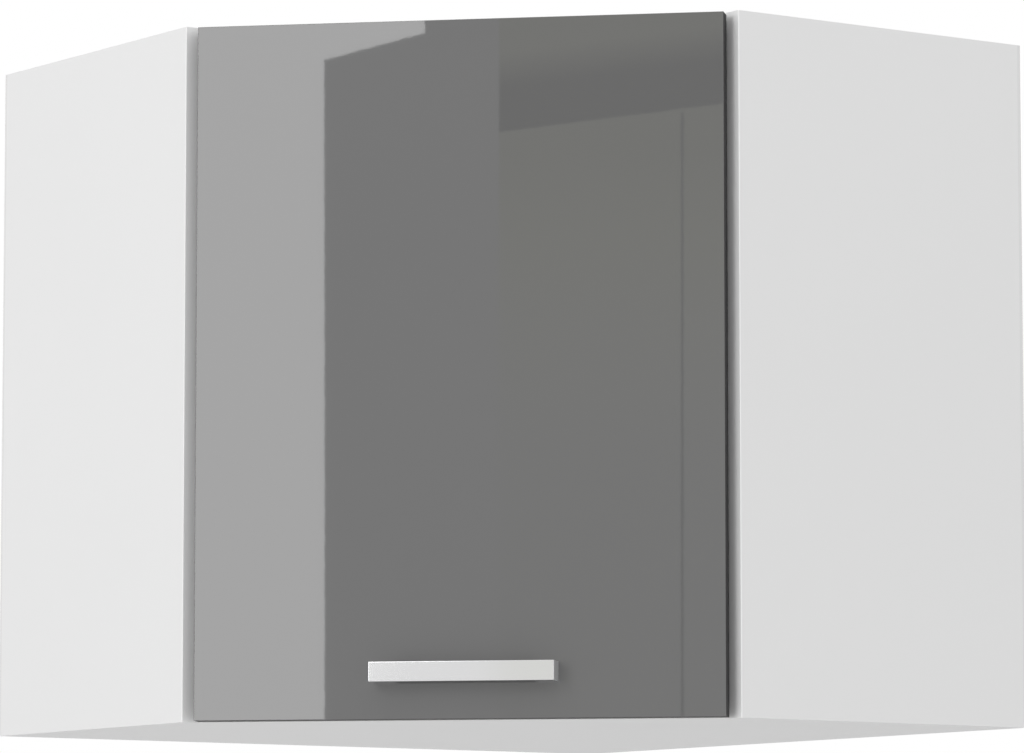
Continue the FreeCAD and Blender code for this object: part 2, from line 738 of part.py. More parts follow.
def carcass_nodes():
    levels = {"bottom": (BOARD / 2, BOARD), "top": (CABINET_HEIGHT - BOARD / 2, CABINET_HEIGHT)}
    bolts = {name: [cam_bolt(v, z) for v in CAM_PLACES] for name, (z, face) in levels.items()}
    cams = {name: [cam_lock(v, z, face) for v in CAM_PLACES] for name, (z, face) in levels.items()}
    seats = {name: [cam_seat(v, z, face) for v in CAM_PLACES] for name, (z, face) in levels.items()}
    bores = {name: [bolt_bore(v, z) for v in CAM_PLACES] for name, (z, face) in levels.items()}
    dowels = {name: [side_dowel(v, z) for v in DOWEL_PLACES] for name, (z, face) in levels.items()}
    stile_pegs = [on_left(dowel) for dowel in stile_dowels()]
    left_nails = [on_left(n) for n in nails(BACK_BOARD + STILE_WIDTH * NAIL_STILE_SHARE)]
    right_nails = [on_right(n) for n in nails(STILE_FACE - BOARD / 2)]
    all_nails = left_nails + right_nails
    pins = [shelf_pin(180, at(SIDE_INNER, v, SHELF_Z)) for v in PIN_ROWS]
    stile_pin = on_left(shelf_pin(90, at(BACK_BOARD + STILE_WIDTH / 2, STILE_FACE, SHELF_Z)))
    hangers = bracket_screws()
    euro_screws = [screw for z in HINGE_HEIGHTS.values() for screw in plate_screws(z, driven)]
    side_fittings = [fitting for name in levels for fitting in bolts[name] + dowels[name]]
    side = side_board().cut(side_fittings + side_pin_holes() + hangers)
    nodes = {
        "left_side_panel": on_left(side).cut(euro_screws + left_nails),
        "right_side_panel": on_right(side).cut(right_nails),
        "left_side_edging": on_left(side_strip()),
        "right_side_edging": on_right(side_strip()),
        "left_back_panel": on_left(back_board(BACK_BOARD, bracket_window())).cut(left_nails),
        "right_back_panel": on_right(back_board(0, bracket_window())).cut(right_nails),
        "corner_stile": on_left(stile_board().cut(stile_pin_holes() + stile_dowels())).cut(all_nails),
        "left_hanging_bracket": on_left(hanging_bracket().cut(hangers)),
        "right_hanging_bracket": on_right(hanging_bracket().cut(hangers)),
        "bracket_screws": group(on_both(hangers)),
        "cam_bolts": group(on_both(bolts["bottom"] + bolts["top"])),
        "cam_locks": group(on_both(cams["bottom"] + cams["top"])),
        "wood_dowels": group(on_both(dowels["bottom"] + dowels["top"]) + stile_pegs),
        "back_nails": group(all_nails),
        "shelf_pins": group(on_both(pins) + [stile_pin]),
        "plate_screws": group(euro_screws),
    }
    for name, (z, face) in levels.items():
        board = prism(panel_outline(MOUTH_Y + EDGE_STRIP), face - BOARD, face)
        cuts = on_both(seats[name] + bores[name] + dowels[name]) + stile_pegs + all_nails
        nodes[name + "_panel"] = board.cut(cuts)
        nodes[name + "_panel_edging"] = front_strip(MOUTH_Y, 0, face - BOARD, face)
    return nodes


def shelf_nodes():
    front = MOUTH_Y + SHELF_SETBACK
    top = SHELF_Z + BOARD
    return {
        "shelf": prism(shelf_outline(front + EDGE_STRIP), SHELF_Z, top),
        "shelf_edging": front_strip(front, SHELF_GAP / DIAGONAL, SHELF_Z, top),
    }


def hinge_nodes():
    nodes = {}
    arm_screws = []
    adjusters = []
    for name, z in HINGE_HEIGHTS.items():
        screws = [arm_screw(ARM_SCREW_LINE, z), arm_screw(ADJUSTER_LINE, z)]
        arm_screws.append(screws[0])
        adjusters.append(screws[1])
        nodes[name + "_hinge_arm"] = hinge_arm(z).cut(screws)
        nodes[name + "_hinge_plate"] = mounting_plate(z).cut(screws + plate_screws(z, plain))
        nodes[name + "_hinge_cup"] = hinge_cup(z).cut(cup_screws(z))
        nodes[name + "_hinge_pin"] = hinge_pin(z)
        nodes[name + "_hinge_spring"] = hinge_spring(z)
    nodes["arm_screws"] = group(arm_screws)
    nodes["adjusting_screws"] = group(adjusters)
    return nodes


def door_nodes():
    heights = HINGE_HEIGHTS.values()
    screws = [screw for z in heights for screw in cup_screws(z)]
    cups = [cup_solid(z) for z in heights]
    bores = handle_screws(HANDLE_SCREW_RADIUS + HANDLE_SCREW_PLAY)
    shanks = handle_screws(HANDLE_SCREW_RADIUS)
    return {
        "door_panel": door_board().cut(cups + screws + bores),
        "door_edging": group(door_strips()),
        "door_handle": door_handle().cut(shanks),
        "handle_screws": group(shanks),
        "cup_screws": group(screws),
        "door_bumpers": group(door_bumpers()),
    }


def main():
    os.makedirs("parts", exist_ok=True)
    nodes = {**carcass_nodes(), **shelf_nodes(), **hinge_nodes(), **door_nodes()}
    for name, shape in nodes.items():
        shape.exportStep(os.path.join("parts", name + ".step"))
        print(name, len(shape.Solids), round(shape.Volume), shape.isValid())


main()
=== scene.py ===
"""Looks, light and camera for a diagonal corner wall cabinet, in metres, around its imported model.

The room's back corner is the origin. X runs to the right, Y into the corner and Z up.
The boards stand along two walls that are turned 45 degrees from X and Y.
"""

import math

import bpy
import numpy as np
from mathutils import Matrix, Vector


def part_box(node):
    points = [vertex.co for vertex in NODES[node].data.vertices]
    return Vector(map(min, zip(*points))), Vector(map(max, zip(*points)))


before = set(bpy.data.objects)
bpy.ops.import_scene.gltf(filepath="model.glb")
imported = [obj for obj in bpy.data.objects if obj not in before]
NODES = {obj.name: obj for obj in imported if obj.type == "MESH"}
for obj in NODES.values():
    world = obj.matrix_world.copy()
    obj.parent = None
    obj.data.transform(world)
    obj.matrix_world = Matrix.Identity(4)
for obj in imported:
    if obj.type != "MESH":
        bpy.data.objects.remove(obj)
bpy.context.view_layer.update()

MM = 0.001

# The photograph's frame, in pixels, and the camera that matches it
FRAME_WIDTH = 1024
FRAME_HEIGHT = 753
SENSOR_MM = 36.0
LENS_MM = 196.24
CAMERA_PLACE = Vector((0.7896, -4.9001, -0.2124))
CAMERA_YAW = -0.1733
CAMERA_PITCH = 0.1103
CAMERA_REACH = 200.0

# Studio cards that the glossy door mirrors, as corners in the photograph's pixels
WINDOW_FOOT = (325, 1047)
WINDOW_SOFFIT_LOW = (324.3, 60)
WINDOW_SOFFIT_HIGH = (425, 33)
WALL_LEFT_X = 499
WALL_RIGHT_X = 784
BEAM_LEFT_Y = 132
BEAM_SLOPE = -28.5 / 225
BEAM_FLAT_RISE = 44
BEAM_FADE_RISE = 80
SEAM_X = (681.0, 683.6)
SEAM_Y = (112, 813)

# The mirrored wall from top to bottom: height in the picture, light, and share of its warm tint
WALL_ROWS = (
    (-60, 0.64, 1.0),
    (150, 0.64, 1.0),
    (240, 0.76, 1.0),
    (330, 0.78, 0.6),
    (450, 0.76, 0.25),
    (620, 0.745, 0.15),
    (813, 0.745, 0.15),
)
WALL_TOP_LIGHT = 0.66
WARM_TINT = np.array((1.0, 1.015, 0.81))

# Studio, in metres and in light strengths
CARD_Y = -5.6
CARD_STEP = 0.02
WINDOW_REACH = 1.85
WINDOW_HIGH_Z = 3.0
WINDOW_LIGHT = 4.45
BEAM_LIGHT = 0.1
SEAM_LIGHT = 0.05
DOME_LIGHT = 0.78
DOME_TOP_LIGHT = 0.95
BACKGROUND_LIGHT = 1.0
PLAIN_LIGHT = (1.0, 1.0, 1.0, 1.0)
FLOOR_Z = -1.4
FLOOR_HALF = 60.0
FLOOR_SHADE = (0.72, 0.72, 0.72)
FLOOR_SEEN_SHADE = (0.56, 0.56, 0.56)
FLOOR_FADE_START = 3.0
FLOOR_FADE_END = 12.0

# Colours, linear
WHITE = (0.79, 0.79, 0.79)
# Lighter than the boards' white: partly the strips' own white, partly painted light for the groove beside the
# door
STRIP_WHITE_PAINTED_LIGHT = (0.9, 0.9, 0.9)
DOOR_GREY = (0.1432, 0.1432, 0.1432)
# Darker than the door's grey: painted shade on the door's edges
EDGE_GREY_PAINTED_SHADE = (0.06, 0.06, 0.06)
CHIP_DARK = (0.30, 0.19, 0.10)
CHIP_PALE = (0.62, 0.45, 0.27)
FIBRE_DARK = (0.13, 0.075, 0.04)
FIBRE_PALE = (0.36, 0.23, 0.135)
DAMP_PATCH = (0.62, 0.60, 0.58)
# Darker colour in the hardboard's pits: painted shade
PIT_PAINTED_SHADE = (0.72, 0.70, 0.68)
UNCHANGED = (1.0, 1.0, 1.0)
ALUMINIUM = (0.87, 0.87, 0.875)
ZINC = (0.55, 0.56, 0.58)
CAST_ZINC = (0.50, 0.50, 0.51)
NICKEL = (0.66, 0.64, 0.61)
SPRING = (0.34, 0.33, 0.32)
BEECH = (0.62, 0.43, 0.26)
BEECH_DARK = (0.48, 0.31, 0.17)
BEECH_PALE = (0.72, 0.53, 0.34)
MILKY = (0.82, 0.82, 0.80)

# How far a clouded finish goes below and above its colour
MELAMINE_CLOUDS = (0.99, 1.01)
LACQUER_CLOUDS = (0.985, 1.015)
STRIP_CLOUDS = (0.94, 1.06)
PLATING_CLOUDS = (0.92, 1.0)
LACQUERED_FIBRE = (1.01, 1.05)
LACQUERED_EDGE = (0.92, 0.95)

# Roughness, smoothest and roughest
MELAMINE_ROUGH = (0.38, 0.46)
WHITE_STRIP_ROUGH = (0.30, 0.38)
GREY_STRIP_ROUGH = (0.42, 0.58)
HARDBOARD_ROUGH = (0.45, 0.8)
DOOR_ROUGH = (0.0125, 0.45)
ALUMINIUM_ROUGH = (0.03, 0.07)
ZINC_ROUGH = (0.28, 0.5)
CAST_ZINC_ROUGH = (0.45, 0.65)
NICKEL_ROUGH = (0.16, 0.30)
SPRING_ROUGH = (0.25, 0.45)
RUBBER_ROUGH = (0.25, 0.45)
CUT_BOARD_ROUGH = 0.9
SAWN_END_ROUGH = 0.5
LACQUER_IOR = 1.6

# How deep a finish goes into its piece
BOARD_SKIN = 0.4 * MM
SAWN_DEPTH = 0.3 * MM
POLISHED_DEPTH = 0.12 * MM
RAW_DEPTH = 0.1 * MM
LACQUERED_FACE = 2.9 * MM

# The turn about Z that brings the boards square to X and Y
BOARD_TURN = math.radians(45)

# The Mix node's sockets for colours
MIX_COLOURS = (6, 7)
MIX_RESULT = 2


def feed(tree, socket, value):
    """Links an input to another node's output, or gives it a plain value."""
    if isinstance(value, bpy.types.NodeSocket):
        tree.links.new(value, socket)
    else:
        socket.default_value = value


def shader_node(tree, kind, inputs=None, **settings):
    """A new node of a shader tree, with its properties set and its inputs fed."""
    made = tree.nodes.new("ShaderNode" + kind)
    for name, value in settings.items():
        setattr(made, name, value)
    for name, value in (inputs or {}).items():
        feed(tree, made.inputs[name], value)
    return made


def math_node(tree, operation, *values):
    """A number worked out from one or two others."""
    return shader_node(tree, "Math", dict(enumerate(values)), operation=operation).outputs[0]


def vector_node(tree, operation, *values):
    """A vector worked out from one or two others, or a number for a length or a dot product."""
    made = shader_node(tree, "VectorMath", dict(enumerate(values)), operation=operation)
    return made.outputs["Value" if operation in ("LENGTH", "DOT_PRODUCT") else "Vector"]


def axes(tree, vector):
    """A vector's X, Y and Z."""
    return shader_node(tree, "SeparateXYZ", {"Vector": vector}).outputs


def object_place(tree):
    """Where a point of the surface lies in its object, in metres."""
    return shader_node(tree, "TexCoord").outputs["Object"]


def noise(tree, place, scale, detail, roughness=0.5, distortion=0.0):
    """A 0 to 1 value that wanders about scale times in a metre, with finer wanderings laid over it."""
    inputs = {"Vector": place, "Scale": scale, "Detail": detail}
    inputs.update({"Roughness": roughness, "Distortion": distortion})
    return shader_node(tree, "TexNoise", inputs).outputs["Fac"]


def spread_value(tree, value, limits):
    """A 0 to 1 value spread between two limits."""
    low, high = limits
    return shader_node(tree, "MapRange", {"Value": value, "To Min": low, "To Max": high}).outputs[0]


def mixed_colour(tree, share, first, second, blend="MIX"):
    """The first colour where the share is 0, and the second, or the two blended, where it is 1."""
    made = shader_node(tree, "Mix", {0: share}, data_type="RGBA", blend_type=blend)
    for place, colour in zip(MIX_COLOURS, (first, second)):
        linked = isinstance(colour, bpy.types.NodeSocket)
        feed(tree, made.inputs[place], colour if linked else (*colour, 1.0))
    return made.outputs[MIX_RESULT]


def mixed_shader(tree, share, first, second):
    """The first shader where the share is 0, the second where it is 1."""
    return shader_node(tree, "MixShader", {0: share, 1: first, 2: second}).outputs[0]


def shaded(colour, share):
    """A colour made darker or lighter."""
    return tuple(part * share for part in colour)


def clouded(tree, tone, colour, clouds):
    """A colour that a 0 to 1 tone takes from its darkest cloud to its lightest."""
    darkest, lightest = clouds
    return mixed_colour(tree, tone, shaded(colour, darkest), shaded(colour, lightest))


def bump(tree, shader, height, depth):
    """Gives the shader a relief of a real depth, in metres."""
    relief = shader_node(tree, "Bump", {"Distance": depth, "Height": height})
    feed(tree, shader.inputs["Normal"], relief.outputs[0])


def group_with(name, inputs, outputs):
    """An empty node group with named sockets: its tree, what it is given and what it puts out."""
    tree = bpy.data.node_groups.new(name, "ShaderNodeTree")
    for socket, kind, value in inputs:
        made = tree.interface.new_socket(socket, in_out="INPUT", socket_type="NodeSocket" + kind)
        made.default_value = value
    for socket, kind in outputs:
        tree.interface.new_socket(socket, in_out="OUTPUT", socket_type="NodeSocket" + kind)
    return tree, tree.nodes.new("NodeGroupInput").outputs, tree.nodes.new("NodeGroupOutput").inputs


def placed_group(tree, group, values):
    """What a group puts out in a material, from the material's own values."""
    return shader_node(tree, "Group", values, node_tree=group).outputs


def pressed_grain():
    """Fine pressed grain: small blobs for the height, and broad clouds for the tone."""
    tree, given, result = group_with(
        "pressed_grain",
        [("Grain per metre", "Float", 900.0), ("Clouds per metre", "Float", 6.0)],
        [("Height", "Float"), ("Tone", "Float")],
    )
    place = object_place(tree)
    feed(tree, result["Height"], noise(tree, place, given["Grain per metre"], detail=2.0, roughness=0.55))
    feed(tree, result["Tone"], noise(tree, place, given["Clouds per metre"], detail=3.0))
    return tree


def drawn_lines():
    """Fine lines left by drawing, or fibres: noise stretched along one direction."""
    tree, given, result = group_with(
        "drawn_lines",
        [("Lines per metre", "Vector", (10.0, 4000.0, 4000.0))],
        [("Height", "Float")],
    )
    stretched = vector_node(tree, "MULTIPLY", object_place(tree), given["Lines per metre"])
    feed(tree, result["Height"], noise(tree, stretched, scale=1.0, detail=4.0, roughness=0.6))
    return tree


def cut_board():
    """Raw chipboard where a bore cuts into a board: a mask, 1 below the skin on all axes, and its colour."""
    tree, given, result = group_with(
        "cut_board",
        [
            ("Centre", "Vector", (0.0, 0.0, 0.0)),
            ("Turn", "Float", 0.0),
            ("Half size", "Vector", (1.0, 1.0, 1.0)),
        ],
        [("Mask", "Float"), ("Color", "Color")],
    )
    place = object_place(tree)
    turn = {"Vector": place, "Angle": given["Turn"]}
    turned = shader_node(tree, "VectorRotate", turn, rotation_type="Z_AXIS").outputs[0]
    off_centre = vector_node(tree, "ABSOLUTE", vector_node(tree, "SUBTRACT", turned, given["Centre"]))
    depth = axes(tree, vector_node(tree, "SUBTRACT", given["Half size"], off_centre))
    least = math_node(tree, "MINIMUM", math_node(tree, "MINIMUM", depth["X"], depth["Y"]), depth["Z"])
    feed(tree, result["Mask"], math_node(tree, "GREATER_THAN", least, BOARD_SKIN))
    chips = shader_node(tree, "TexVoronoi", {"Vector": place, "Scale": 700.0})
    chip = shader_node(tree, "SeparateColor", {"Color": chips.outputs["Color"]}).outputs[0]
    feed(tree, result["Color"], mixed_colour(tree, chip, CHIP_DARK, CHIP_PALE))
    return tree


def screen_imprint():
    """Square pits that a wire screen presses into wet fibre: the lesser of two waves at right angles."""
    tree, given, result = group_with(
        "screen_imprint",
        [
            ("Along", "Vector", (1.0, 0.0, 0.0)),
            ("Pits per metre", "Float", 480.0),
            ("Wander", "Float", 0.6),
        ],
        [("Height", "Float")],
    )
    place = object_place(tree)
    wander = math_node(tree, "MULTIPLY", noise(tree, place, scale=300.0, detail=2.0), given["Wander"])
    waves = []
    for distance in (vector_node(tree, "DOT_PRODUCT", place, given["Along"]), axes(tree, place)["Z"]):
        pits = math_node(tree, "MULTIPLY", distance, given["Pits per metre"])
        angle = math_node(tree, "MULTIPLY", math_node(tree, "ADD", pits, wander), math.tau)
        half_wave = math_node(tree, "MULTIPLY", math_node(tree, "SINE", angle), 0.5)
        waves.append(math_node(tree, "ADD", half_wave, 0.5))
    feed(tree, result["Height"], math_node(tree, "MINIMUM", *waves))
    return tree


PRESSED_GRAIN = pressed_grain()
SCREEN_IMPRINT = screen_imprint()
DRAWN_LINES = drawn_lines()
CUT_BOARD = cut_board()


def new_material(name, colour, values=None):
    """A material and its Principled shader, with the values that are the same all over the surface."""
    material = bpy.data.materials.new(name)
    material.use_nodes = True
    material.diffuse_color = (*colour, 1.0)
    shader = next(node for node in material.node_tree.nodes if node.type == "BSDF_PRINCIPLED")
    shader.inputs["Base Color"].default_value = (*colour, 1.0)
    for socket, value in (values or {}).items():
        shader.inputs[socket].default_value = value
    return material, material.node_tree, shader


def board_box(node, turn):
    """Centre and half sizes of a board in its own frame, turned about Z by this angle."""
    mesh = NODES[node].data
    points = np.empty(len(mesh.vertices) * 3, np.float32)
    mesh.vertices.foreach_get("co", points)
    points = points.reshape(-1, 3) @ np.array(Matrix.Rotation(turn, 3, "Z")).T
    low, high = points.min(0), points.max(0)
    return (low + high) / 2, (high - low) / 2


def melamine(name, node):
    """White melamine with a pearl press, and raw chipboard in the bores of this board."""
    material, tree, shader = new_material(name, WHITE)
    grain = placed_group(tree, PRESSED_GRAIN, {"Grain per metre": 850.0, "Clouds per metre": 5.0})
    centre, half = board_box(node, BOARD_TURN)
    cut = placed_group(tree, CUT_BOARD, {"Centre": centre, "Turn": BOARD_TURN, "Half size": half})
    tone = clouded(tree, grain["Tone"], WHITE, MELAMINE_CLOUDS)
    feed(tree, shader.inputs["Base Color"], mixed_colour(tree, cut["Mask"], tone, cut["Color"]))
    smooth = spread_value(tree, grain["Tone"], MELAMINE_ROUGH)
    rough = math_node(tree, "MULTIPLY", cut["Mask"], CUT_BOARD_ROUGH)
    feed(tree, shader.inputs["Roughness"], math_node(tree, "MAXIMUM", smooth, rough))
    bump(tree, shader, grain["Height"], depth=0.02 * MM)
    return material


def white_edging():
    """Extruded white edge strip, smoother than the boards, with a faint waviness, its white partly its own
    and partly painted light.
    """
    material, tree, shader = new_material("white_edging", STRIP_WHITE_PAINTED_LIGHT)
    grain = placed_group(tree, PRESSED_GRAIN, {"Grain per metre": 500.0, "Clouds per metre": 9.0})
    feed(tree, shader.inputs["Roughness"], spread_value(tree, grain["Tone"], WHITE_STRIP_ROUGH))
    bump(tree, shader, grain["Height"], depth=0.01 * MM)
    return material


def raw_fibre(tree, place, fibre, pits):
    """Brown pressed fibre with damp patches multiplied in, and painted shade multiplied into its pits."""
    brown = mixed_colour(tree, fibre, FIBRE_DARK, FIBRE_PALE)
    cloud = noise(tree, place, scale=9.0, detail=5.0, roughness=0.65)
    # Clouds darken the brown at random; the pits are darkened by painted shade
    for share, darkest in ((cloud, DAMP_PATCH), (pits, PIT_PAINTED_SHADE)):
        brown = mixed_colour(tree, 1.0, brown, mixed_colour(tree, share, darkest, UNCHANGED), "MULTIPLY")
    return brown


def hardboard(name, outward):
    """White lacquer on the side that faces outward, greyer edges, and raw imprinted fibre on the other."""
    material, tree, shader = new_material(name, WHITE)
    place = object_place(tree)
    off_wall = vector_node(tree, "DOT_PRODUCT", place, outward)
    raw = math_node(tree, "LESS_THAN", off_wall, RAW_DEPTH)
    lacquered = math_node(tree, "GREATER_THAN", off_wall, LACQUERED_FACE)
    fibre = noise(tree, place, scale=260.0, detail=8.0, roughness=0.7, distortion=1.2)
    pits = placed_group(tree, SCREEN_IMPRINT, {"Along": (outward[1], -outward[0], 0.0)})["Height"]
    edge = clouded(tree, fibre, WHITE, LACQUERED_EDGE)
    white = mixed_colour(tree, lacquered, edge, clouded(tree, fibre, WHITE, LACQUERED_FIBRE))
    colour = mixed_colour(tree, raw, white, raw_fibre(tree, place, fibre, pits))
    feed(tree, shader.inputs["Base Color"], colour)
    feed(tree, shader.inputs["Roughness"], spread_value(tree, raw, HARDBOARD_ROUGH))
    relief = math_node(tree, "ADD", math_node(tree, "MULTIPLY", raw, pits), fibre)
    bump(tree, shader, relief, depth=0.08 * MM)
    return material


def grey_gloss():
    """High-gloss lacquered front with a faint orange peel, and a satin back."""
    material, tree, shader = new_material("grey_gloss", DOOR_GREY, {"IOR": LACQUER_IOR})
    low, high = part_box("door_panel")
    behind = math_node(tree, "GREATER_THAN", axes(tree, object_place(tree))["Y"], low.y + BOARD_SKIN)
    feed(tree, shader.inputs["Roughness"], spread_value(tree, behind, DOOR_ROUGH))
    peel = placed_group(tree, PRESSED_GRAIN, {"Grain per metre": 120.0, "Clouds per metre": 7.0})
    cut = placed_group(tree, CUT_BOARD, {"Centre": (low + high) / 2, "Half size": (high - low) / 2})
    tone = clouded(tree, peel["Tone"], DOOR_GREY, LACQUER_CLOUDS)
    feed(tree, shader.inputs["Base Color"], mixed_colour(tree, cut["Mask"], tone, cut["Color"]))
    bump(tree, shader, peel["Height"], depth=0.001 * MM)
    return material


def grey_edging():
    """Matt strip round the door, darker as painted shade, polished with the front where it is flush with it.
    """
    polish = {"Coat Roughness": DOOR_ROUGH[0], "Coat IOR": LACQUER_IOR, "Specular IOR Level": 0.03}
    material, tree, shader = new_material("grey_edging", EDGE_GREY_PAINTED_SHADE, polish)
    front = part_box("door_edging")[0].y
    polished = math_node(tree, "LESS_THAN", axes(tree, object_place(tree))["Y"], front + POLISHED_DEPTH)
    feed(tree, shader.inputs["Coat Weight"], polished)
    grain = placed_group(tree, PRESSED_GRAIN, {"Grain per metre": 600.0, "Clouds per metre": 12.0})
    # The darker grey of the edges is painted shade
    matt = clouded(tree, grain["Tone"], EDGE_GREY_PAINTED_SHADE, STRIP_CLOUDS)
    feed(tree, shader.inputs["Base Color"], mixed_colour(tree, polished, matt, DOOR_GREY))
    feed(tree, shader.inputs["Roughness"], spread_value(tree, grain["Tone"], GREY_STRIP_ROUGH))
    return material


def satin_aluminium():
    """Satin anodised aluminium, drawn along the bar, with duller sawn ends."""
    material, tree, shader = new_material("satin_aluminium", ALUMINIUM, {"Metallic": 1.0})
    low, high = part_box("door_handle")
    middle, half = (low.x + high.x) / 2, (high.x - low.x) / 2
    along = math_node(tree, "SUBTRACT", axes(tree, object_place(tree))["X"], middle)
    sawn = math_node(tree, "GREATER_THAN", math_node(tree, "ABSOLUTE", along), half - SAWN_DEPTH)
    lines = placed_group(tree, DRAWN_LINES, {"Lines per metre": (12.0, 5000.0, 5000.0)})
    smooth = spread_value(tree, lines["Height"], ALUMINIUM_ROUGH)
    rough = math_node(tree, "MULTIPLY", sawn, SAWN_END_ROUGH)
    feed(tree, shader.inputs["Roughness"], math_node(tree, "MAXIMUM", smooth, rough))
    bump(tree, shader, lines["Height"], depth=0.001 * MM)
    return material


def plated_metal(name, colour, roughness, grain_count):
    """A plated or cast metal: clouded gloss over a fine grain, counted along a metre."""
    material, tree, shader = new_material(name, colour, {"Metallic": 1.0})
    grain = placed_group(tree, PRESSED_GRAIN, {"Grain per metre": grain_count, "Clouds per metre": 160.0})
    feed(tree, shader.inputs["Roughness"], spread_value(tree, grain["Tone"], roughness))
    feed(tree, shader.inputs["Base Color"], clouded(tree, grain["Tone"], colour, PLATING_CLOUDS))
    bump(tree, shader, grain["Height"], depth=0.01 * MM)
    return material


def beech():
    """Pale beech, with short darker and lighter fibres along the dowel."""
    material, tree, shader = new_material("beech", BEECH, {"Roughness": 0.6})
    fibres = placed_group(tree, DRAWN_LINES, {"Lines per metre": (900.0, 900.0, 60.0)})["Height"]
    feed(tree, shader.inputs["Base Color"], mixed_colour(tree, fibres, BEECH_DARK, BEECH_PALE))
    bump(tree, shader, fibres, depth=0.05 * MM)
    return material


def clear_rubber():
    """Soft clear dots, slightly milky."""
    clear = {"Transmission Weight": 0.55, "IOR": 1.42}
    material, tree, shader = new_material("clear_rubber", MILKY, clear)
    grain = placed_group(tree, PRESSED_GRAIN, {"Grain per metre": 700.0, "Clouds per metre": 90.0})
    feed(tree, shader.inputs["Roughness"], spread_value(tree, grain["Tone"], RUBBER_ROUGH))
    bump(tree, shader, grain["Height"], depth=0.02 * MM)
    return material


def finish(material, *nodes):
    """Gives CAD nodes their material."""
    for name in nodes:
        slots = NODES[name].data.materials
        slots.clear()
        slots.append(material)


def finish_boards():
    """Boards, their edge strips and the two backs."""
    for name in ("left_side_panel", "right_side_panel", "top_panel", "bottom_panel", "corner_stile", "shelf"):
        finish(melamine(f"white_melamine_{name}", name), name)
    finish(
        white_edging(),
        "left_side_edging", "right_side_edging", "top_panel_edging", "bottom_panel_edging", "shelf_edging",
    )
    across = math.sqrt(0.5)
    finish(hardboard("white_hardboard_left", (across, -across, 0.0)), "left_back_panel")
    finish(hardboard("white_hardboard_right", (-across, -across, 0.0)), "right_back_panel")


def finish_door():
    """The door, its edge strips, handle and soft dots."""
    finish(grey_gloss(), "door_panel")
    finish(grey_edging(), "door_edging")
    finish(satin_aluminium(), "door_handle")
    finish(clear_rubber(), "door_bumpers")


def finish_fittings():
    """Screws, nails, cams, dowels, shelf pegs, hangers and hinges."""
    finish(
        plated_metal("zinc_steel", ZINC, ZINC_ROUGH, grain_count=2500.0),
        "left_hanging_bracket", "right_hanging_bracket", "bracket_screws", "cam_bolts", "back_nails",
        "plate_screws", "handle_screws", "lower_hinge_pin", "upper_hinge_pin",
    )
    finish(plated_metal("die_cast_zinc", CAST_ZINC, CAST_ZINC_ROUGH, grain_count=1800.0), "cam_locks")
    finish(
        plated_metal("nickel_steel", NICKEL, NICKEL_ROUGH, grain_count=3000.0),
        "shelf_pins", "arm_screws", "adjusting_screws", "cup_screws",
        "lower_hinge_arm", "upper_hinge_arm", "lower_hinge_plate", "upper_hinge_plate",
        "lower_hinge_cup", "upper_hinge_cup",
    )
    finish(
        plated_metal("spring_steel", SPRING, SPRING_ROUGH, grain_count=2500.0),
        "lower_hinge_spring", "upper_hinge_spring",
    )
    finish(beech(), "wood_dowels")


def camera_axes():
    """Unit vectors to the right, up and forward, from the camera's yaw and pitch."""
    level = math.cos(CAMERA_PITCH)
    forward = Vector((math.sin(CAMERA_YAW) * level, math.cos(CAMERA_YAW) * level, math.sin(CAMERA_PITCH)))
    right = Vector((math.cos(CAMERA_YAW), -math.sin(CAMERA_YAW), 0.0))
    return right, right.cross(forward), forward


def make_camera():
    """The camera of the photograph, which looks along its own -Z."""
    right, up, forward = camera_axes()
    data = bpy.data.cameras.new("camera")
    data.sensor_width = SENSOR_MM
    data.lens = LENS_MM
    data.clip_end = CAMERA_REACH
    camera = bpy.data.objects.new("camera", data)
    turn = Matrix((right, up, -forward)).transposed()
    camera.matrix_world = Matrix.Translation(CAMERA_PLACE) @ turn.to_4x4()
    bpy.context.scene.collection.objects.link(camera)
    bpy.context.scene.camera = camera


def mirrored_point(x, y, card_y):
    """Where the ray through a pixel goes after it meets the door's front, on the plane Y = card_y."""
    right, up, forward = camera_axes()
    focal = LENS_MM / SENSOR_MM * FRAME_WIDTH
    ray = forward + right * ((x - FRAME_WIDTH / 2) / focal) + up * ((FRAME_HEIGHT / 2 - y) / focal)
    door_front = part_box("door_panel")[0].y
    meets = CAMERA_PLACE + ray * ((door_front - CAMERA_PLACE.y) / ray.y)
    ray.y = -ray.y
    return meets + ray * ((card_y - meets.y) / ray.y)


def light_material(name, strength=1.0, shaded_by_mesh=False):
    """White light, or light of the colours that the mesh holds as its shade attribute."""
    material = bpy.data.materials.new(name)
    material.use_nodes = True
    tree = material.node_tree
    tree.nodes.clear()
    inputs = {"Strength": strength}
    if shaded_by_mesh:
        inputs["Color"] = shader_node(tree, "Attribute", attribute_name="shade").outputs["Color"]
    light = shader_node(tree, "Emission", inputs)
    shader_node(tree, "OutputMaterial", {"Surface": light.outputs[0]})
    return material


def studio_card(name, points, faces, material, lights_room=False):
    """A flat card that shows in reflections, and lights the room only where it says so."""
    mesh = bpy.data.meshes.new(name)
    mesh.from_pydata([tuple(p) for p in points], [], faces)
    mesh.materials.append(material)
    made = bpy.data.objects.new(name, mesh)
    bpy.context.scene.collection.objects.link(made)
    made.visible_camera = False
    made.visible_shadow = False
    made.visible_diffuse = lights_room
    made.visible_transmission = False
    return made


def warmed(light, warmth):
    """A light's colour: its strength, tinted from neutral at warmth 0 to the wall's own tint at 1."""
    return (*(light * (1.0 + (WARM_TINT - 1.0) * warmth)), 1.0)


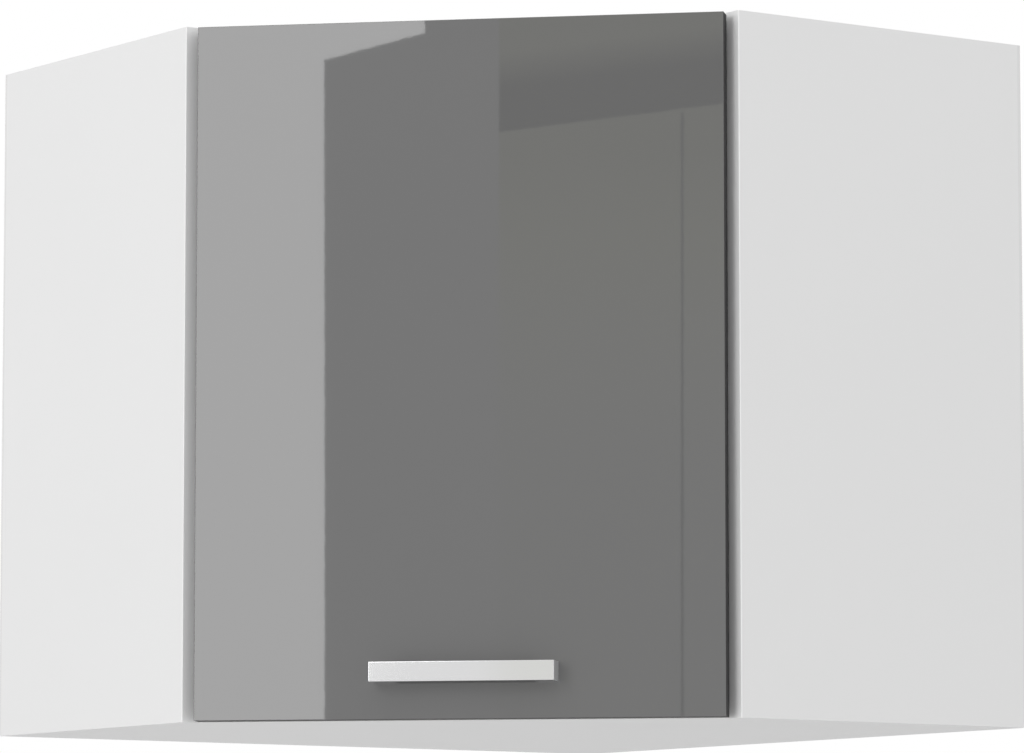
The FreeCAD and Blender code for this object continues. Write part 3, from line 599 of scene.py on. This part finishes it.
def shaded_card(name, rows, slope, card_y):
    """A card for the door's right part, level or sloping, whose light and warmth change row by row."""
    points, shades = [], []
    for y, light, warmth in rows:
        for x in (WALL_LEFT_X, WALL_RIGHT_X):
            points.append(mirrored_point(x, y + slope * (x - WALL_LEFT_X), card_y))
            shades.append(warmed(light, warmth))
    faces = [(corner, corner + 1, corner + 3, corner + 2) for corner in range(0, len(points) - 2, 2)]
    made = studio_card(name, points, faces, light_material(name, shaded_by_mesh=True))
    attribute = made.data.attributes.new("shade", "FLOAT_COLOR", "POINT")
    attribute.data.foreach_set("color", np.array(shades, np.float32).ravel())


def window_light():
    """The large bright card at the left, which lights the cabinet and has the edge seen in the door."""
    foot = mirrored_point(*WINDOW_FOOT, CARD_Y)
    low = mirrored_point(*WINDOW_SOFFIT_LOW, CARD_Y)
    high = mirrored_point(*WINDOW_SOFFIT_HIGH, CARD_Y)
    far = low.x - WINDOW_REACH
    points = [
        foot,
        low,
        high,
        (high.x, CARD_Y, WINDOW_HIGH_Z),
        (far, CARD_Y, WINDOW_HIGH_Z),
        (far, CARD_Y, foot.z),
    ]
    faces = [range(len(points))]
    studio_card("window", points, faces, light_material("window", WINDOW_LIGHT), lights_room=True)


def mirrored_wall():
    """A grey card in the door's right part, warm above and lightest halfway down."""
    shaded_card("mirrored_wall", WALL_ROWS, 0.0, CARD_Y)


def mirrored_beam():
    """A dark sloping card over that one, sharp below and fading above."""
    rows = (
        (BEAM_LEFT_Y, BEAM_LIGHT, 1.0),
        (BEAM_LEFT_Y - BEAM_FLAT_RISE, BEAM_LIGHT, 1.0),
        (BEAM_LEFT_Y - BEAM_FADE_RISE, WALL_TOP_LIGHT, 1.0),
    )
    shaded_card("mirrored_beam", rows, BEAM_SLOPE, CARD_Y + CARD_STEP)


def mirrored_seam():
    """A thin upright card in front of the grey one."""
    left, right = SEAM_X
    top, bottom = SEAM_Y
    corners = ((left, top), (right, top), (right, bottom), (left, bottom))
    points = [mirrored_point(x, y, CARD_Y + CARD_STEP) for x, y in corners]
    studio_card("mirrored_seam", points, [(0, 1, 2, 3)], light_material("mirrored_seam", SEAM_LIGHT))


def pale_floor():
    """Matt pale floor, darker to the camera, lost in the background far off, and clear from below."""
    matt = {"Roughness": 0.8, "Specular IOR Level": 0.1}
    material, tree, shader = new_material("pale_floor", FLOOR_SHADE, matt)
    grain = placed_group(tree, PRESSED_GRAIN, {"Grain per metre": 60.0, "Clouds per metre": 1.5})
    bump(tree, shader, grain["Height"], depth=0.1 * MM)
    camera_ray = shader_node(tree, "LightPath").outputs["Is Camera Ray"]
    feed(tree, shader.inputs["Base Color"], mixed_colour(tree, camera_ray, FLOOR_SHADE, FLOOR_SEEN_SHADE))
    level = vector_node(tree, "MULTIPLY", object_place(tree), (1.0, 1.0, 0.0))
    away = vector_node(tree, "LENGTH", level)
    limits = {"Value": away, "From Min": FLOOR_FADE_START, "From Max": FLOOR_FADE_END}
    fade = shader_node(tree, "MapRange", limits, interpolation_type="SMOOTHSTEP").outputs[0]
    bright = shader_node(tree, "Emission", {"Strength": BACKGROUND_LIGHT}).outputs[0]
    faded = mixed_shader(tree, fade, shader.outputs[0], bright)
    from_below = shader_node(tree, "NewGeometry").outputs["Backfacing"]
    clear = shader_node(tree, "BsdfTransparent").outputs[0]
    surface = next(node for node in tree.nodes if node.type == "OUTPUT_MATERIAL")
    feed(tree, surface.inputs["Surface"], mixed_shader(tree, from_below, faded, clear))
    return material


def make_floor():
    """A flat square far below the cabinet and much larger than the picture."""
    half = FLOOR_HALF
    mesh = bpy.data.meshes.new("floor")
    corners = [(-half, -half, FLOOR_Z), (half, -half, FLOOR_Z), (half, half, FLOOR_Z), (-half, half, FLOOR_Z)]
    mesh.from_pydata(corners, [], [(0, 1, 2, 3)])
    mesh.materials.append(pale_floor())
    floor = bpy.data.objects.new("floor", mesh)
    bpy.context.scene.collection.objects.link(floor)


def make_dome():
    """Even light from all sides, a little stronger from above, and a white background for the camera."""
    world = bpy.data.worlds.new("studio")
    bpy.context.scene.world = world
    world.use_nodes = True
    tree = world.node_tree
    tree.nodes.clear()
    height = axes(tree, shader_node(tree, "TexCoord").outputs["Generated"])["Z"]
    strength = spread_value(tree, height, (DOME_LIGHT, DOME_TOP_LIGHT))
    dome = shader_node(tree, "Background", {"Color": PLAIN_LIGHT, "Strength": strength}).outputs[0]
    seen = shader_node(tree, "Background", {"Color": PLAIN_LIGHT, "Strength": BACKGROUND_LIGHT}).outputs[0]
    camera_ray = shader_node(tree, "LightPath").outputs["Is Camera Ray"]
    shader_node(tree, "OutputWorld", {"Surface": mixed_shader(tree, camera_ray, dome, seen)})


def make_studio():
    """Dome, floor, cards, and tones shown as they are."""
    make_dome()
    make_floor()
    window_light()
    mirrored_wall()
    mirrored_beam()
    mirrored_seam()
    bpy.context.scene.view_settings.view_transform = "Standard"
    bpy.context.scene.view_settings.look = "None"


finish_boards()
finish_door()
finish_fittings()
make_camera()
make_studio()
